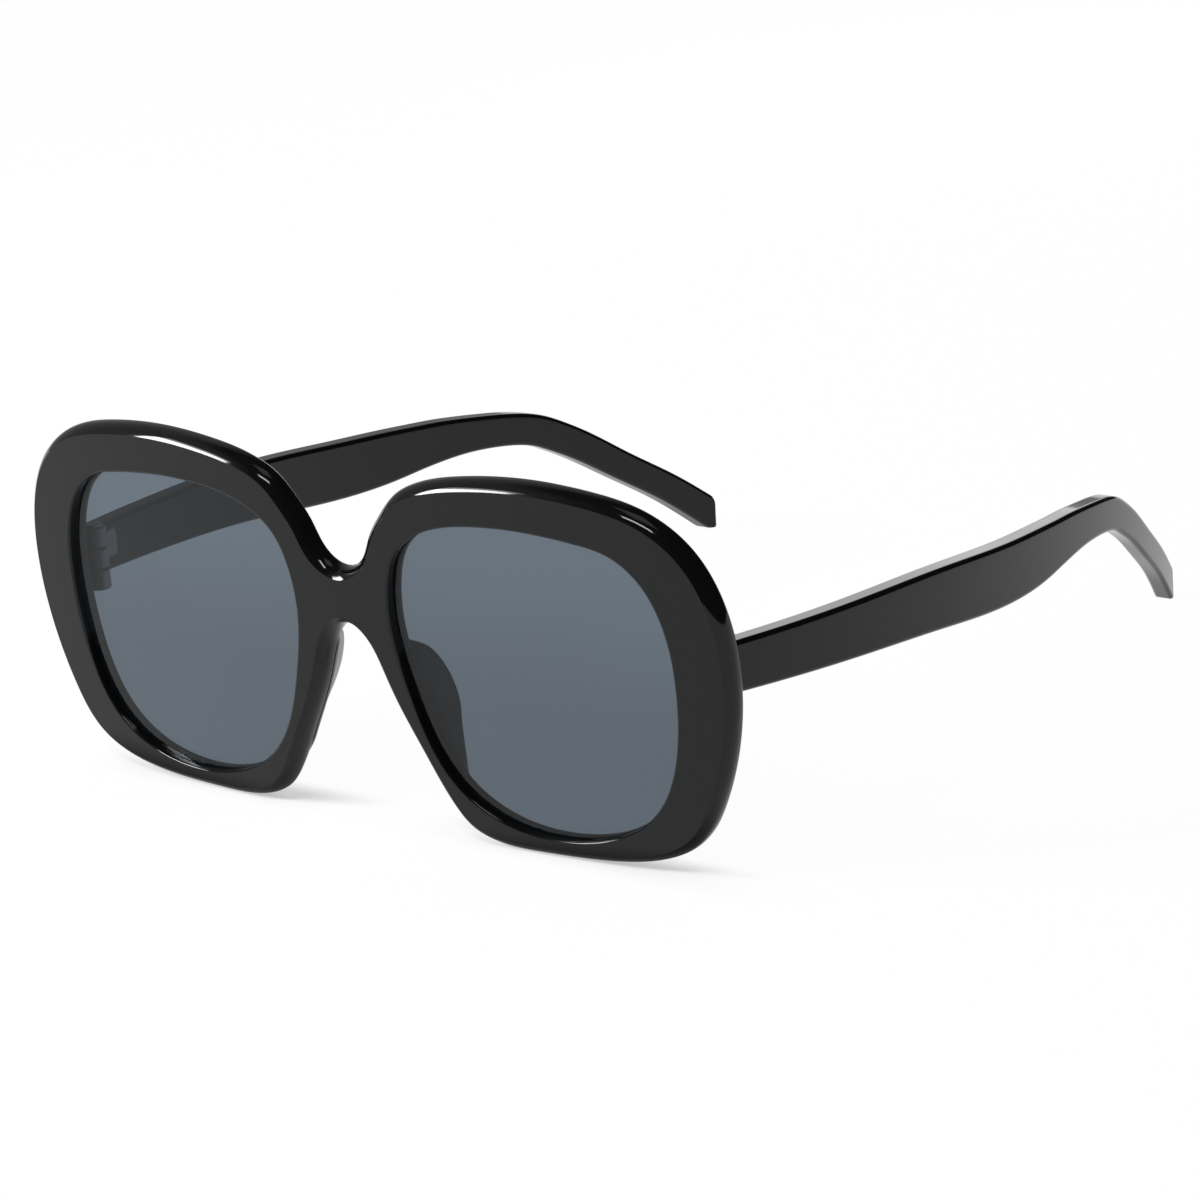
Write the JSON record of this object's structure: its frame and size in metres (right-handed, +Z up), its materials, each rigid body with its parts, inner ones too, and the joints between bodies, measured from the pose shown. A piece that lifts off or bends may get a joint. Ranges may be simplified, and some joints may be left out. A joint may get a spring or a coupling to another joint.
{
  "type": "sunglasses",
  "caption": "Large oval sunglasses with a thick glossy black front, flat grey tinted lenses, fixed nose pads and curved black temples that fold on small screw hinges.",
  "frame": {"origin": "centre of the open glasses' footprint on the table, z = 0 where both rims' lower edges and both temple tips rest", "axes": "+X to the wearer's left, +Y from the front back to the temple tips, +Z up; the front faces -Y"},
  "size_m": [0.1452, 0.1528, 0.0605],
  "materials": {
    "black_plastic": "polished black",
    "pad_plastic": "smooth black, slightly softer than the front",
    "grey_lens": "flat lens with a see-through neutral grey tint, a little darker at the bottom",
    "hinge_metal": "dull grey metal",
    "screw_metal": "plain metal",
    "core_wire_metal": "plain metal, hidden in the temple"
  },
  "bodies": {
    "front": {"front_frame": "black_plastic", "nose_pad_left": "pad_plastic", "nose_pad_right": "pad_plastic", "lens_left": "grey_lens", "lens_right": "grey_lens", "front_hinge_left": "hinge_metal", "front_hinge_right": "hinge_metal", "hinge_screw_left": "screw_metal", "hinge_screw_right": "screw_metal"},
    "left_temple": {"temple_left": "black_plastic", "temple_hinge_left": "hinge_metal", "temple_core_left": "core_wire_metal"},
    "right_temple": {"temple_right": "black_plastic", "temple_hinge_right": "hinge_metal", "temple_core_right": "core_wire_metal"}
  },
  "joints": [
    {"name": "left_temple_fold", "type": "hinge", "parent": "front", "child": "left_temple", "pos_m": [0.0624, -0.06481, 0.0331], "axis": [0, 0, 1], "range_deg": [0, 86]},
    {"name": "right_temple_fold", "type": "hinge", "parent": "front", "child": "right_temple", "pos_m": [-0.0624, -0.06481, 0.0331], "axis": [0, 0, -1], "range_deg": [0, 78]}
  ]
}
